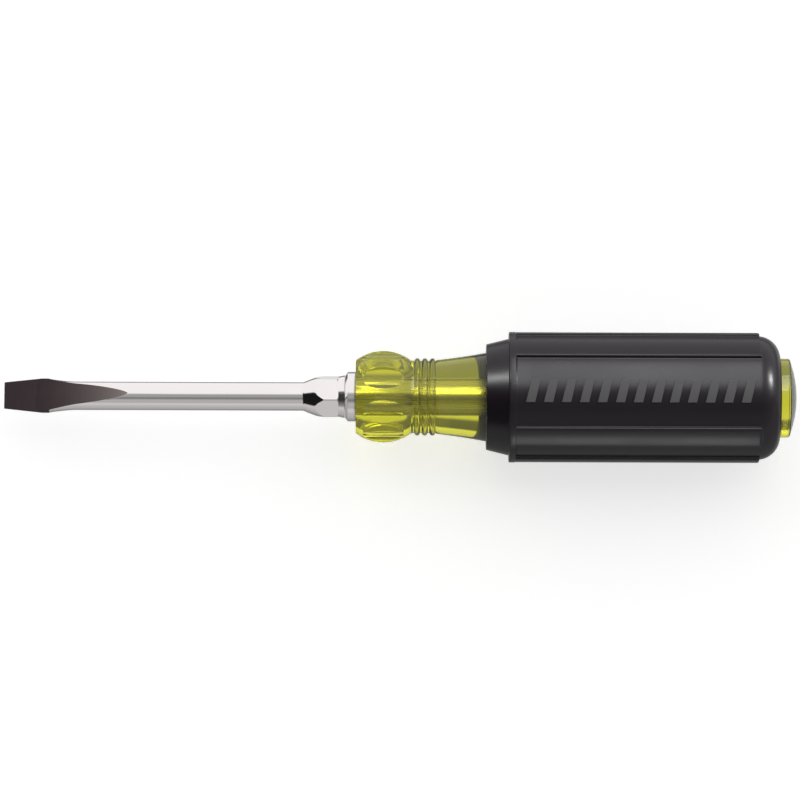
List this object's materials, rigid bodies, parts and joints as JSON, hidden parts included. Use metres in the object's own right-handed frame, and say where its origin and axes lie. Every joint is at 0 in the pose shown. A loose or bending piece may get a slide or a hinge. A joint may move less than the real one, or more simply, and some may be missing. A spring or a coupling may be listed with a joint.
{
  "type": "screwdriver",
  "caption": "Slotted screwdriver: keystone tip on a round shank, hexagonal bolster, clear fluted handle with a ribbed cushion grip.",
  "frame": {"origin": "centre of the driver tip's end face", "axes": "+X along the tool from the tip to the butt, +Z out of the middle of one broad grip panel, +Y to the side. The tip's upper flat is rolled 6 degrees from +Z towards +Y"},
  "size_m": [0.198, 0.0326, 0.0326],
  "materials": {
    "chromed_steel": "bright chrome on the shank and bolster, dark ground flats at the tip",
    "collar_steel": "bright chrome",
    "yellow_acetate": "clear yellow-green cellulose acetate, polished",
    "black_vinyl": "semi-gloss dipped vinyl with smooth ribs"
  },
  "bodies": {
    "root": {"blade": "chromed_steel", "bolster_collar": "collar_steel", "handle_core": "yellow_acetate", "cushion_grip": "black_vinyl"}
  },
  "joints": []
}
